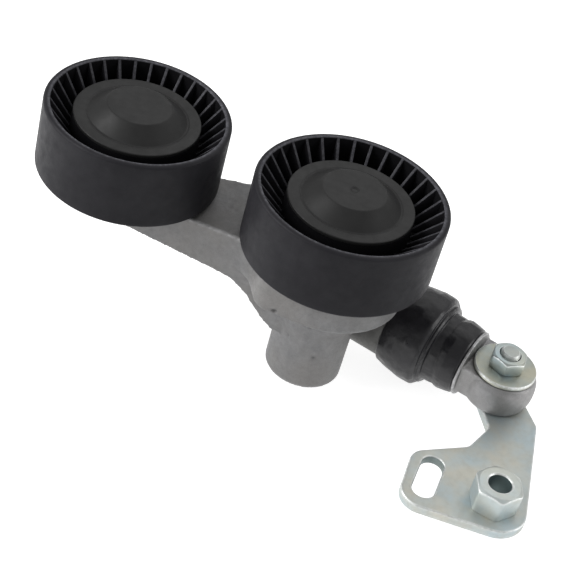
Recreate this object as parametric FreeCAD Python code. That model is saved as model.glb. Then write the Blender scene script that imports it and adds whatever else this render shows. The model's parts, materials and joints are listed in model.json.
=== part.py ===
"""Belt tensioner idler: a cast arm on a vertical pivot carries one idler pulley at its free end, a second
pulley runs on the pivot itself, and a spring-loaded hydraulic strut pushes the arm against the belt.
The strut's rod end is bolted to a slotted steel bracket.

Millimetres, +Z up along the pivot, origin on the pivot axis at the sleeve's mounting face.
The first pulley lies towards -X, the bracket towards +X.
"""
import FreeCAD, Part
import math
import os

V = FreeCAD.Vector
UP = V(0, 0, 1)
ALONG = V(1, 0, 0)
ORIGIN = V(0, 0, 0)

# Driving dimensions
PULLEY_1_R = 35.6          # belt face radius of the arm's pulley
PULLEY_2_R = 37.2          # belt face radius of the pivot's pulley
PULLEY_WIDTH = 28.0
PULLEY_TOP = 86.3          # height of both pulleys' top rims above the mounting face
CENTRE_DISTANCE = 86.4     # pivot to the arm's pulley
ARM_TOP = 56.8
ARM_BOTTOM = 37.8          # underside at the hub; it rises towards the free end
ARM_END_BOTTOM = 43.6
BOSS_R = 15.2
ARM_HALF = 12.6            # arm edge to the line between the pulleys
HUB_DISC_R = 29.5
HUB_DISC_LOW = 43.0
BOSS_BOTTOM = 0.3
STRUT_LENGTH = 105.0       # rear pin to rod-end eye, fully extended
STRUT_ANGLE = -13.2        # degrees from +X towards the eye
STRUT_Z = 16.8
EYE_X = 75.2
EYE_Y = 15.7
PLATE_TOP = 8.8
PLATE_THICKNESS = 4.0
FIT = 0.05                 # radial clearance of every running fit

# Derived places
PULLEY_MID = PULLEY_TOP - PULLEY_WIDTH / 2
PULLEY_1_X = -CENTRE_DISTANCE
STRUT_COS = math.cos(math.radians(STRUT_ANGLE))
STRUT_SIN = math.sin(math.radians(STRUT_ANGLE))
REAR_X = EYE_X - STRUT_LENGTH * STRUT_COS
REAR_Y = EYE_Y - STRUT_LENGTH * STRUT_SIN
PLATE_BOTTOM = PLATE_TOP - PLATE_THICKNESS
LUG_BOTTOM = STRUT_Z + 8.6

# Bearing, the 17 x 40 x 12 size
BEARING_BORE_R = 8.5
BEARING_OUTER_R = 20.0
BEARING_HALF = 6.0
BALL_PITCH_R = 14.25
BALL_R = 3.3
BALL_COUNT = 8
RACE_R = 3.5
INNER_SHOULDER_R = 12.1
OUTER_SHOULDER_R = 16.4

# Pulley wheel
HUB_R = 24.25
RIM_WALL = 2.6
RIM_ROUND = 1.2
WEB_HALF = 1.5
RIB_COUNT = 33
RIB_THICKNESS = 1.15
RIB_DROP = 0.45            # rib's outer end below the rim's edge
RIB_FOOT = 0.7             # rib's inner end above the web
PULLEY_1_TURN = 6.4        # degrees from +X to the first rib
PULLEY_2_TURN = 8.3
CAP_RING_DROP = 3.1        # cap ring below the rim's top
CAP_WALL = 1.4
CAP_RISE = 5.0             # cap's flat centre above its ring
CAP_CENTRE_R = 12.0
CAP_CONE_R = 18.8          # foot of the cap's cone

# Pivot
SLEEVE_R = 9.0
SLEEVE_BORE_R = 5.25       # clearance for an M10 stud
SLEEVE_BORE_DEPTH = 40.0
BUSH_R = 10.6
M8_R = 4.0
THREAD_GAP = 0.05

# Strut stations, measured from the rear pin along the strut
HOUSING_R = 16.2
HOUSING_END = 65.5
BOOT_REAR = 57.6
BOOT_LIP = 77.0
BOOT_SMALL_END = 90.7
FLANGE_R = 14.0
FLANGE_FRONT = 92.1        # 0.3 mm behind the washer's rim
CYLINDER_BORE_R = 8.05
ROD_R = 5.0
SPRING_SEAT = 59.0
EYE_RING_R = 14.3
EYE_BOTTOM = 9.3
EYE_TOP = 22.9

# Bracket
SLOT_X = 63.5
SLOT_Y = -41.8
SLOT_WIDTH = 8.8
SLOT_LENGTH = 22.2
STANDOFF_X = 88.75
STANDOFF_TOP = 19.5
STANDOFF_FLATS = 17.0
STANDOFF_HOLE_R = 4.5


def cylinder(radius, low, high, x=0.0, y=0.0):
    return Part.makeCylinder(radius, high - low, V(x, y, low))


def tube(outer, inner, low, high, x=0.0, y=0.0):
    return cylinder(outer, low, high, x, y).cut(cylinder(inner, low - 1, high + 1, x, y))


def lathe(profile, x=0.0, y=0.0):
    """Solid of revolution about a vertical axis from (radius, height) points."""
    points = [V(radius, 0, height) for radius, height in profile]
    shape = Part.Face(Part.makePolygon(points + points[:1])).revolve(ORIGIN, UP, 360)
    shape.translate(V(x, y, 0))
    return shape


def lathe_along(profile):
    """Solid of revolution about the strut's own axis from (station, radius) points."""
    points = [V(station, 0, radius) for station, radius in profile]
    return Part.Face(Part.makePolygon(points + points[:1])).revolve(ORIGIN, ALONG, 360)


def tube_along(outer, inner, start, end):
    profile = [(start, inner), (end, inner), (end, outer), (start, outer)]
    return lathe_along(profile)


def on_strut(shape):
    """Moves a shape from the strut's own frame (rear pin at the origin, +X to the eye) into place."""
    placed = shape.copy()
    placed.rotate(ORIGIN, UP, STRUT_ANGLE)
    placed.translate(V(REAR_X, REAR_Y, STRUT_Z))
    return placed


def hexagon(flats, low, high, x=0.0, y=0.0, turn=0.0):
    """Hexagonal prism with its corners chamfered at the top."""
    corner_r = flats / math.sqrt(3)
    angles = [math.radians(turn + 60 * i) for i in range(6)]
    points = [V(x + corner_r * math.cos(a), y + corner_r * math.sin(a), low) for a in angles]
    prism = Part.Face(Part.makePolygon(points + points[:1])).extrude(V(0, 0, high - low))
    drop = (corner_r - flats / 2) * 0.6
    chamfer = lathe([(0, low), (corner_r + 1, low), (corner_r + 1, high - drop - 0.6),
                     (flats / 2 * 0.97, high), (0, high)], x, y)
    return prism.common(chamfer)


def rounded_outline(corners):
    """Closed wire through (x, y, radius) corners, each rounded by a tangent arc."""
    edges = []
    ends = []
    count = len(corners)
    for i in range(count):
        x, y, radius = corners[i]
        here = V(x, y, 0)
        before = V(*corners[i - 1][:2], 0) - here
        after = V(*corners[(i + 1) % count][:2], 0) - here
        before.normalize()
        after.normalize()
        half = before.getAngle(after) / 2
        reach = radius / math.tan(half)
        middle = before + after
        middle.normalize()
        bulge = here + middle * (radius / math.sin(half) - radius)
        ends.append((here + before * reach, bulge, here + after * reach))
    for i in range(count):
        start, bulge, end = ends[i]
        edges.append(Part.Arc(start, bulge, end).toShape())
        edges.append(Part.LineSegment(end, ends[(i + 1) % count][0]).toShape())
    return Part.Wire(edges)


def plate(corners, low, high):
    face = Part.Face(rounded_outline(corners))
    face.translate(V(0, 0, low))
    return face.extrude(V(0, 0, high - low))


def save(node, shape):
    shape.exportStep("parts/" + node + ".step")
    print(node, len(shape.Solids), round(shape.Volume, 1), shape.isValid())


def group(shapes):
    return Part.makeCompound(shapes)


# Bearings

def bearing(prefix, x):
    """Deep-groove bearing on a vertical axis at x, in the middle of the pulley."""
    low = PULLEY_MID - BEARING_HALF
    high = PULLEY_MID + BEARING_HALF
    race = Part.makeTorus(BALL_PITCH_R, RACE_R, V(x, 0, PULLEY_MID))
    middle = V(x, 0, PULLEY_MID)
    directions = []
    for i in range(BALL_COUNT):
        angle = 2 * math.pi * i / BALL_COUNT
        directions.append(V(math.cos(angle), math.sin(angle), 0))
    save(prefix + "_bearing_outer", tube(BEARING_OUTER_R, OUTER_SHOULDER_R, low, high, x).cut(race))
    save(prefix + "_bearing_inner", tube(INNER_SHOULDER_R, BEARING_BORE_R, low, high, x).cut(race))
    balls = [Part.makeSphere(BALL_R, middle + d * BALL_PITCH_R) for d in directions]
    save(prefix + "_bearing_balls", group(balls))
    cage = tube(BALL_PITCH_R + 1.0, BALL_PITCH_R - 1.0, PULLEY_MID - 4.3, PULLEY_MID + 4.3, x)
    for d in directions:
        start = middle + d * (BALL_PITCH_R - 3.0)
        cage = cage.cut(Part.makeCylinder(BALL_R + 0.1, 6.0, start, d))
    save(prefix + "_bearing_cage", cage)
    for name, side in (("upper", 1), ("lower", -1)):
        near = PULLEY_MID + side * 5.0
        far = PULLEY_MID + side * 5.7
        seal = tube(OUTER_SHOULDER_R, INNER_SHOULDER_R + 0.3, min(near, far), max(near, far), x)
        save(prefix + "_seal_" + name, seal)


# Pulleys

def wheel(radius, x, turn):
    """Moulded wheel: belt rim, hub, thin web, and ribs on both sides that fall from the rim to the web."""
    low = PULLEY_TOP - PULLEY_WIDTH
    inner = radius - RIM_WALL
    hub_top = PULLEY_TOP - CAP_RING_DROP - CAP_WALL
    hub_low = low + 2.5
    lip_r = BEARING_OUTER_R - 1.2
    lip_low = PULLEY_MID - BEARING_HALF
    lip_high = PULLEY_MID + BEARING_HALF
    profile = [
        (inner, low + 0.4), (inner + 0.4, low), (radius, low), (radius, PULLEY_TOP),
        (inner + 0.4, PULLEY_TOP), (inner, PULLEY_TOP - 0.4), (inner, PULLEY_MID + WEB_HALF),
        (HUB_R, PULLEY_MID + WEB_HALF),
        (HUB_R, hub_top), (BEARING_OUTER_R, hub_top), (BEARING_OUTER_R, lip_high + 1.5),
        (lip_r, lip_high + 1.5), (lip_r, lip_high), (BEARING_OUTER_R, lip_high),
        (BEARING_OUTER_R, lip_low), (lip_r, lip_low), (lip_r, hub_low),
        (HUB_R, hub_low), (HUB_R, PULLEY_MID - WEB_HALF), (inner, PULLEY_MID - WEB_HALF),
    ]
    body = lathe(profile, x)
    rims = [e for e in body.Edges if e.Length > 2 * math.pi * (radius - 0.1)]
    body = body.makeFillet(RIM_ROUND, rims)
    ribs = []
    outer_end = inner + RIM_WALL / 2
    inner_end = HUB_R - 0.8
    for side in (1, -1):
        root = PULLEY_MID + side * (WEB_HALF - 0.5)
        foot = PULLEY_MID + side * (WEB_HALF + RIB_FOOT)
        crest = PULLEY_MID + side * (PULLEY_WIDTH / 2 - RIB_DROP)
        section = [(inner_end, root), (outer_end, root), (outer_end, crest), (inner + 0.1, crest),
                   (HUB_R, foot), (inner_end, foot)]
        points = [V(r, -RIB_THICKNESS / 2, z) for r, z in section]
        rib = Part.Face(Part.makePolygon(points + points[:1])).extrude(V(0, RIB_THICKNESS, 0))
        for i in range(RIB_COUNT):
            turned = rib.copy()
            turned.rotate(ORIGIN, UP, turn + 360 / RIB_COUNT * i)
            turned.translate(V(x, 0, 0))
            ribs.append(turned)
    return body.multiFuse(ribs).removeSplitter()


def dust_cap(x):
    """Moulded cap: flat outer ring, shallow groove and truncated cone, with a snap skirt below."""
    ring = PULLEY_TOP - CAP_RING_DROP
    under = ring - CAP_WALL
    centre = ring + CAP_RISE
    profile = [
        (0, centre - 0.4), (1.4, centre - 0.4), (1.8, centre), (CAP_CENTRE_R - 0.5, centre),
        (CAP_CENTRE_R + 0.3, centre - 0.3), (CAP_CONE_R, ring - 0.1), (CAP_CONE_R + 0.4, ring - 0.3),
        (CAP_CONE_R + 1.0, ring), (HUB_R - 0.3, ring), (HUB_R, ring - 0.3), (HUB_R, under),
        (19.9, under), (19.9, under - 1.3), (18.5, under - 1.3), (18.5, under),
        (CAP_CENTRE_R - 1.0, centre - CAP_WALL), (0, centre - CAP_WALL),
    ]
    return lathe(profile, x)


def idler_bolt(x, seat, tip):
    """M8 flange bolt standing on the inner ring."""
    head_low = seat + 1.2
    bolt = cylinder(9.0, seat, head_low, x).fuse(hexagon(13.0, head_low, seat + 4.6, x, 0, 12))
    return bolt.fuse(cylinder(M8_R - THREAD_GAP, tip, seat + 0.5, x)).removeSplitter()


def pulleys():
    for prefix, radius, x, turn in (("pulley_1", PULLEY_1_R, PULLEY_1_X, PULLEY_1_TURN),
                                    ("pulley_2", PULLEY_2_R, 0.0, PULLEY_2_TURN)):
        save(prefix + "_wheel", wheel(radius, x, turn))
        save(prefix + "_dust_cap", dust_cap(x))
        bearing(prefix, x)
    seat = PULLEY_MID + BEARING_HALF
    save("pulley_1_bolt", idler_bolt(PULLEY_1_X, seat, ARM_END_BOTTOM))
    save("pulley_2_bolt", idler_bolt(0.0, seat, 52.0))
    spacer = lathe([(M8_R + 0.2, ARM_TOP + 2), (10.8, ARM_TOP + 2), (10.8, PULLEY_MID - BEARING_HALF),
                    (BEARING_BORE_R, PULLEY_MID - BEARING_HALF), (BEARING_BORE_R, seat), (M8_R + 0.2, seat)],
                   PULLEY_1_X)
    save("pulley_1_spacer", spacer)


# Pivot

def pivot():
    seat = PULLEY_MID + BEARING_HALF
    flange_low = ARM_TOP + 1.0
    sleeve = lathe([
        (SLEEVE_BORE_R, 0), (SLEEVE_R, 0), (SLEEVE_R, flange_low), (11.5, flange_low),
        (11.5, PULLEY_MID - BEARING_HALF), (BEARING_BORE_R, PULLEY_MID - BEARING_HALF),
        (BEARING_BORE_R, seat), (M8_R, seat), (M8_R, 50.0), (0, 50.0),
        (0, SLEEVE_BORE_DEPTH), (SLEEVE_BORE_R, SLEEVE_BORE_DEPTH)])
    save("pivot_sleeve", sleeve)
    save("thrust_washer", tube(12.5, SLEEVE_R, ARM_TOP, flange_low))
    save("pivot_bush_upper", tube(BUSH_R, SLEEVE_R + FIT, 34.0, ARM_TOP - 1.5))
    save("pivot_bush_lower", tube(BUSH_R, SLEEVE_R + FIT, 4.5, 26.0))
    seal = lathe([(SLEEVE_R + 0.3, 3.8), (SLEEVE_R + 0.3, 1.2), (BUSH_R, 1.2), (BUSH_R, 4.2), (9.9, 4.2)])
    save("pivot_seal", seal)


# Arm

def side_profile(points, half_width):
    """Prism across the arm from (x, height) points, as wide as twice the half width."""
    corners = [V(x, -half_width, z) for x, z in points]
    return Part.Face(Part.makePolygon(corners + corners[:1])).extrude(V(0, 2 * half_width, 0))


def arm():
    """Cast arm: flat slab from the pulley end to the pivot, flared hub, pivot boss and strut lug."""
    far_end = PULLEY_1_X - ARM_HALF
    slab = plate([
        (far_end, -ARM_HALF, 11.5), (-2.0, -ARM_HALF, 1.0), (-2.0, 20.0, 1.0), (-12.0, 52.5, 12.0),
        (-41.0, 52.5, 12.0), (-41.0, 36.0, 8.0), (-36.0, 24.6, 3.0), (far_end, 5.0, 7.0)],
        ARM_BOTTOM, ARM_TOP)
    rise = side_profile([(-120.0, ARM_BOTTOM - 1), (-120.0, ARM_END_BOTTOM + 2.0), (-47.0, ARM_BOTTOM + 0.8),
                         (-38.0, ARM_BOTTOM), (-38.0, ARM_BOTTOM - 1)], 40.0)
    slab = slab.cut(rise)
    shoulder = plate([(-60.0, -ARM_HALF, 0.5), (-29.0, -ARM_HALF, 14.0), (-19.0, -HUB_DISC_R, 8.0),
                      (0, -HUB_DISC_R, 0.5), (0, 0, 0.5), (-60.0, 0, 0.5)], HUB_DISC_LOW, ARM_TOP)
    boss = lathe([(0, BOSS_BOTTOM), (BOSS_R - 0.7, BOSS_BOTTOM), (BOSS_R, BOSS_BOTTOM + 0.7),
                  (BOSS_R + 0.2, ARM_BOTTOM + 1), (0, ARM_BOTTOM + 1)])
    hub = lathe([(0, 27.0), (BOSS_R - 0.3, 27.5), (16.4, 32.5), (19.2, 37.2), (23.6, 41.0),
                 (HUB_DISC_R - 1.2, HUB_DISC_LOW - 0.4), (HUB_DISC_R, HUB_DISC_LOW + 0.6),
                 (HUB_DISC_R, ARM_TOP), (0, ARM_TOP)])
    gusset = side_profile([(-10.0, 20.4), (-13.8, 20.6), (-19.0, 24.1), (-24.3, 29.2), (-26.5, 31.7),
                           (-29.5, 33.8), (-34.3, 36.6), (-40.0, ARM_BOTTOM + 0.1),
                           (-40.0, ARM_BOTTOM + 2), (-10.0, ARM_BOTTOM + 2)], ARM_HALF - 0.4)
    pulley_pad = lathe([(0, ARM_TOP - 1), (13.0, ARM_TOP - 1), (12.2, ARM_TOP + 2), (0, ARM_TOP + 2)],
                       PULLEY_1_X)
    lug = lathe([(0, LUG_BOTTOM), (11.0, LUG_BOTTOM), (11.8, ARM_BOTTOM + 1), (0, ARM_BOTTOM + 1)],
                REAR_X, REAR_Y)
    body = slab.multiFuse([shoulder, boss, hub, gusset, pulley_pad, lug]).removeSplitter()
    body = body.cut(cylinder(BUSH_R, -1, ARM_TOP + 1))
    body = body.cut(cylinder(M8_R, ARM_BOTTOM - 1, ARM_TOP + 5, PULLEY_1_X))
    body = body.cut(cylinder(ROD_R, LUG_BOTTOM - 2, 50.0, REAR_X, REAR_Y))
    save("arm_casting", body.removeSplitter())


# Strut

def strut_housing():
    """Closed cylinder with a vertical eye at its rear end; its mouth widens to take the sliding boot."""
    shell = lathe_along([
        (17.0, 0), (17.0, 9.0), (22.0, 14.6), (24.0, HOUSING_R), (HOUSING_END, HOUSING_R),
        (HOUSING_END, 15.15), (SPRING_SEAT, 15.15), (SPRING_SEAT, 10.35), (27.0, 10.35), (27.0, 0)])
    eye = cylinder(12.6, -7.5, 7.5)
    neck = Part.makeBox(20.0, 18.0, 13.0, V(0, -9.0, -6.5))
    bore = cylinder(9.0, -20, 20)
    body = shell.multiFuse([eye, neck]).cut(bore).removeSplitter()
    save("strut_housing", on_strut(body))


def strut_rear_pivot():
    low = STRUT_Z - 7.5
    high = STRUT_Z + 7.5
    save("rear_bush", on_strut(tube(9.0, ROD_R + 0.5 + FIT, -7.5, 7.5)))
    shoulder_top = LUG_BOTTOM
    bolt = cylinder(ROD_R + 0.5, low - 0.3, shoulder_top, REAR_X, REAR_Y)
    bolt = bolt.fuse(cylinder(ROD_R - THREAD_GAP, shoulder_top - 1, 48.0, REAR_X, REAR_Y))
    bolt = bolt.fuse(hexagon(16.0, low - 7.8, low - 1.8, REAR_X, REAR_Y, 20))
    bolt = bolt.fuse(cylinder(ROD_R, low - 2.5, low, REAR_X, REAR_Y))
    save("rear_bolt", bolt.removeSplitter())
    save("rear_washer", tube(10.5, ROD_R + 0.55, low - 1.8, low - 0.3, REAR_X, REAR_Y))
    save("rear_spacer", tube(9.0, ROD_R + 0.55, high + 0.3, shoulder_top, REAR_X, REAR_Y))


def strut_hydraulics():
    save("pressure_cylinder", on_strut(tube_along(10.3, CYLINDER_BORE_R, 29.0, 56.0)))
    save("check_valve_seat", on_strut(tube_along(10.3, 1.8, 27.0, 29.0)))
    save("check_ball", on_strut(Part.makeSphere(2.4, V(30.65, 0, 0))))
    retainer = lathe_along([(29.0, 3.4), (29.0, 6.5), (29.8, 6.5), (29.8, 4.2), (34.0, 4.2), (34.0, 1.2),
                            (33.2, 1.2), (33.2, 3.4)])
    save("check_valve_retainer", on_strut(retainer))
    save("piston", on_strut(tube_along(CYLINDER_BORE_R - FIT, ROD_R - 1.5, 46.0, 53.5)))
    rod = lathe_along([(46.0, 0), (BOOT_SMALL_END + 1.0, 0), (BOOT_SMALL_END + 1.0, ROD_R), (53.5, ROD_R),
                       (53.5, ROD_R - 1.5), (46.0, ROD_R - 1.5)])
    save("piston_rod", on_strut(rod))
    save("rod_guide", on_strut(tube_along(10.3, ROD_R + FIT, 56.0, SPRING_SEAT)))
    save("rod_seal", on_strut(tube_along(8.2, ROD_R + FIT, SPRING_SEAT, 61.5)))


def strut_spring():
    """Compression spring around the rod, from the housing's seat to the rod end's flange."""
    coil_r = 10.7
    wire_r = 1.2
    start = SPRING_SEAT + wire_r + 0.1
    length = BOOT_SMALL_END - wire_r - 0.1 - start
    helix = Part.makeHelix(length / 5, length, coil_r)
    circle = Part.Wire(Part.makeCircle(wire_r, V(coil_r, 0, 0), V(0, 1, 0)))
    coil = Part.Wire(helix).makePipeShell([circle], True, True)
    coil.rotate(ORIGIN, V(0, 1, 0), 90)
    coil.translate(V(start, 0, 0))
    save("main_spring", on_strut(coil))


def boots():
    """Rubber boot in its two sections: the outer one grips the housing, the inner one slides into it."""
    outer = lathe_along([
        (BOOT_REAR, HOUSING_R), (BOOT_REAR, 17.4), (59.6, 18.5), (64.0, 19.2), (69.0, 19.4), (73.5, 19.0),
        (75.8, 17.6), (BOOT_LIP, 16.2), (BOOT_LIP, 15.15), (74.8, 15.15), (73.4, 17.0), (67.0, 17.2),
        (HOUSING_END, HOUSING_R)])
    inner = tube_along(14.75, 13.0, 72.0, BOOT_SMALL_END)
    save("boot_outer", on_strut(outer))
    save("boot_inner", on_strut(inner))


def rod_end():
    """Cast rod end: round flange behind the boot, short flat neck and barrel-shaped vertical eye."""
    low = EYE_BOTTOM - STRUT_Z
    high = EYE_TOP - STRUT_Z
    flange = lathe_along([(BOOT_SMALL_END, 0), (BOOT_SMALL_END, FLANGE_R - 0.3), (91.0, FLANGE_R),
                          (91.7, FLANGE_R), (FLANGE_FRONT, FLANGE_R - 0.4), (FLANGE_FRONT, 6.2),
                          (96.0, 5.5), (96.0, 0)])
    neck = Part.makeBox(13.0, 24.0, 2 * high, V(FLANGE_FRONT - 0.5, -12.0, -high))
    ring = lathe([(0, low), (12.6, low), (13.5, low + 1.7), (14.1, low + 4.0), (EYE_RING_R, low + 6.2),
                  (EYE_RING_R, high - 5.2), (14.0, high - 2.6), (13.2, high - 0.8), (12.5, high), (0, high)],
                 STRUT_LENGTH, 0)
    body = flange.multiFuse([neck, ring])
    body = body.cut(cylinder(8.6, -20, 20, STRUT_LENGTH, 0))
    body = body.cut(lathe_along([(80.0, 0), (BOOT_SMALL_END + 1.0, 0), (BOOT_SMALL_END + 1.0, ROD_R),
                                 (80.0, ROD_R)]))
    save("rod_end", on_strut(body.removeSplitter()))
    save("eye_rubber_bush", tube(8.6, 5.9 + FIT, EYE_BOTTOM + 0.3, EYE_TOP - 0.3, EYE_X, EYE_Y))


# Bracket

def bracket():
    """Slotted plate with a hexagonal standoff, and the stud, sleeve, washer and nut that hold the eye."""
    body = plate([
        (55.6, -59.2, 8.5), (104.4, -53.9, 12.5), (95.5, 7.6, 5.0), (86.0, 20.5, 4.0), (66.9, 15.5, 1.0),
        (78.0, -3.6, 3.0), (73.4, -17.8, 5.0), (54.3, -31.8, 7.5)], PLATE_BOTTOM, PLATE_TOP)
    body = body.fuse(cylinder(9.8, PLATE_BOTTOM, PLATE_TOP, 77.4, 16.0)).removeSplitter()
    rims = [e for e in body.Edges if e.BoundBox.ZMin > PLATE_TOP - 0.01]
    body = body.makeFillet(0.7, rims)
    half = SLOT_LENGTH / 2
    r = SLOT_WIDTH / 2
    slot = plate([(SLOT_X - r, SLOT_Y - half, r - 0.01), (SLOT_X + r, SLOT_Y - half, r - 0.01),
                  (SLOT_X + r, SLOT_Y + half, r - 0.01), (SLOT_X - r, SLOT_Y + half, r - 0.01)],
                 PLATE_BOTTOM - 1, PLATE_TOP + 1)
    spigot_r = 6.5
    stud_head_r = 7.0
    stud_head_top = PLATE_BOTTOM + 1.8
    body = body.cut(slot).cut(cylinder(spigot_r, 0, 20, STANDOFF_X, SLOT_Y))
    body = body.cut(cylinder(M8_R, 0, 20, EYE_X, EYE_Y))
    body = body.cut(cylinder(stud_head_r, 0, stud_head_top, EYE_X, EYE_Y))
    save("bracket_plate", body)
    standoff = hexagon(STANDOFF_FLATS, PLATE_TOP, STANDOFF_TOP, STANDOFF_X, SLOT_Y, -9)
    standoff = standoff.fuse(cylinder(spigot_r, PLATE_BOTTOM, PLATE_TOP + 0.5, STANDOFF_X, SLOT_Y))
    standoff = standoff.cut(cylinder(STANDOFF_HOLE_R, 0, 30, STANDOFF_X, SLOT_Y))
    save("hex_standoff", standoff.removeSplitter())
    sleeve_top = EYE_TOP + 0.4
    washer_top = sleeve_top + 1.8
    save("eye_sleeve", tube(5.9, M8_R + THREAD_GAP, PLATE_TOP, sleeve_top, EYE_X, EYE_Y))
    save("eye_washer", tube(12.6, M8_R + THREAD_GAP, sleeve_top, washer_top, EYE_X, EYE_Y))
    nut = hexagon(13.0, washer_top, washer_top + 6.2, EYE_X, EYE_Y, 34)
    save("eye_nut", nut.cut(cylinder(M8_R + THREAD_GAP, 0, 50, EYE_X, EYE_Y)))
    stud = cylinder(M8_R, PLATE_BOTTOM, washer_top + 7.6, EYE_X, EYE_Y)
    stud = stud.fuse(cylinder(stud_head_r, PLATE_BOTTOM, stud_head_top, EYE_X, EYE_Y))
    save("eye_stud", stud.removeSplitter())


pivot()
arm()
pulleys()
strut_housing()
strut_rear_pivot()
strut_hydraulics()
strut_spring()
boots()
rod_end()
bracket()
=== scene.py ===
"""Looks of the belt tensioner idler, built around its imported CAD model.

Metres, in the CAD's own frame: +Z up along the pivot, the arm's pulley towards -X, the bracket towards +X.
Sizes are written in millimetres and multiplied by MM.
"""
import json
import math
import bmesh
import bpy
import numpy as np
from mathutils import Euler, Matrix, Vector, noise

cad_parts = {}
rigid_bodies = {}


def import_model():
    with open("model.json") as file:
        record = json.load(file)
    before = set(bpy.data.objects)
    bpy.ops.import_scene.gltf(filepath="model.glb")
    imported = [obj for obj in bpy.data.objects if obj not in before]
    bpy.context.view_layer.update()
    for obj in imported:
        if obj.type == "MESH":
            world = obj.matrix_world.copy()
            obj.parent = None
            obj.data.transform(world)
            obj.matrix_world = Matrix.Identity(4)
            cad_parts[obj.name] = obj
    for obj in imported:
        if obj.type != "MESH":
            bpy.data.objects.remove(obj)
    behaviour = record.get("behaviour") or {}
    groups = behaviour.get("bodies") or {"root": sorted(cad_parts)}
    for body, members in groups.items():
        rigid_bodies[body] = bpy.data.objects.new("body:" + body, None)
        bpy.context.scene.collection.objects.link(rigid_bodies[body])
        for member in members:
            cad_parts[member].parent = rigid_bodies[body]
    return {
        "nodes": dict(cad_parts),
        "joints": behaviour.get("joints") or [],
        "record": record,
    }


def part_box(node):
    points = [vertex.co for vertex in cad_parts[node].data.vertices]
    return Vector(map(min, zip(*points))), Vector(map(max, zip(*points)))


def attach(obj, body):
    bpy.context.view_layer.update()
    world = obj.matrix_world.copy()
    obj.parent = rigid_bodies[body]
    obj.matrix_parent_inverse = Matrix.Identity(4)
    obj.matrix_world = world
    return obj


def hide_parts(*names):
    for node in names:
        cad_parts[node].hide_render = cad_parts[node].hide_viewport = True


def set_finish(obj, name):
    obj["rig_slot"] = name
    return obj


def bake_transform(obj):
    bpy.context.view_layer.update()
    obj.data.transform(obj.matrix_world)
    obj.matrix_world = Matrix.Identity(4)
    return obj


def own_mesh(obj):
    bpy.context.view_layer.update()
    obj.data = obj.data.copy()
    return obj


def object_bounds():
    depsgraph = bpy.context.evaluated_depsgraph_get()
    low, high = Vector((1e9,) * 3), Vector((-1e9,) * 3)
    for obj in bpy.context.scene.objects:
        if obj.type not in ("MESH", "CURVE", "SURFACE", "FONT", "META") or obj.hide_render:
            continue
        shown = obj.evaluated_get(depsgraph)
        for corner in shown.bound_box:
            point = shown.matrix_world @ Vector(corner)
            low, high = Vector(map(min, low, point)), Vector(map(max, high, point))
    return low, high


MM = 0.001
TAU = 2 * math.pi
ROUND_STEPS = 5            # segments in each rounded corner of a turned profile
TURN_STEPS = 160           # segments around a turned piece
SMOOTH_ANGLE = math.radians(38)
TOUCH = 0.001 * MM         # CAD points closer than this are one point
WELD = 0.002 * MM          # points of a turned piece closer than this are one point

for leftover in list(bpy.data.objects):
    bpy.data.objects.remove(leftover)
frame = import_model()
cad_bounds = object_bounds()
joints = {j["name"]: j for j in frame["joints"]}


# Places read from the frame

def middle_of(node):
    low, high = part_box(node)
    return (low + high) / 2


STRUT_AXIS = Vector(joints["rod_slide"]["axis"]).normalized()
REAR_PIN = Vector(joints["strut_pivot"]["pos_m"])


# Mesh building

def new_piece(name, vertices, faces):
    """Smooth-shaded mesh object whose edges over SMOOTH_ANGLE stay sharp."""
    mesh = bpy.data.meshes.new(name)
    mesh.from_pydata([tuple(v) for v in vertices], [], faces)
    mesh.validate()
    piece = bpy.data.objects.new(name, mesh)
    bpy.context.scene.collection.objects.link(piece)
    shade(piece)
    return piece


def shade(piece, angle=SMOOTH_ANGLE):
    """Turns the faces outwards and shades them smooth, except across edges over the angle."""
    mesh = piece.data
    bm = bmesh.new()
    bm.from_mesh(mesh)
    bmesh.ops.recalc_face_normals(bm, faces=bm.faces)
    bm.to_mesh(mesh)
    bm.free()
    mesh.polygons.foreach_set("use_smooth", [True] * len(mesh.polygons))
    mesh.set_sharp_from_angle(angle=angle)
    return piece


def store(piece, name, values):
    """Stores one number for each vertex for the materials to read, both 0 to 1: the recess number is painted
    shade, how much a vertex deep in a recess is darkened, and the wear number is how bright its edge is
    painted, partly as wear and partly as a painted highlight."""
    layer = piece.data.attributes.new(name, "FLOAT", "POINT")
    layer.data.foreach_set("value", values)


def rounded(profile):
    """Closed outline of (a, b, radius) corners, with each corner that has a radius turned into an arc."""
    points = []
    count = len(profile)
    for i, (a, b, radius) in enumerate(profile):
        here = Vector((a, b))
        if radius == 0:
            points.append(here)
            continue
        before = (Vector(profile[i - 1][:2]) - here).normalized()
        after = (Vector(profile[(i + 1) % count][:2]) - here).normalized()
        half = before.angle(after) / 2
        reach = radius / math.tan(half)
        centre = here + (before + after).normalized() * (radius / math.sin(half))
        start, end = here + before * reach - centre, here + after * reach - centre
        sweep = start.angle_signed(end)
        for step in range(ROUND_STEPS + 1):
            turn = -sweep * step / ROUND_STEPS
            cos, sin = math.cos(turn), math.sin(turn)
            points.append(centre + Vector((start.x * cos - start.y * sin, start.x * sin + start.y * cos)))
    return points


def split_long(points, longest):
    """Closed outline with every stretch over so many millimetres divided evenly."""
    result = []
    for i, here in enumerate(points):
        following = points[(i + 1) % len(points)]
        pieces = max(1, math.ceil((following - here).length / longest))
        result += [here.lerp(following, k / pieces) for k in range(pieces)]
    return result


def weld(piece):
    """Merges coincident points and drops the loose edges this leaves."""
    bm = bmesh.new()
    bm.from_mesh(piece.data)
    bmesh.ops.remove_doubles(bm, verts=bm.verts, dist=WELD)
    bmesh.ops.delete(bm, geom=[e for e in bm.edges if not e.link_faces], context="EDGES")
    bmesh.ops.delete(bm, geom=[v for v in bm.verts if not v.link_faces], context="VERTS")
    bm.to_mesh(piece.data)
    bm.free()


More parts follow.
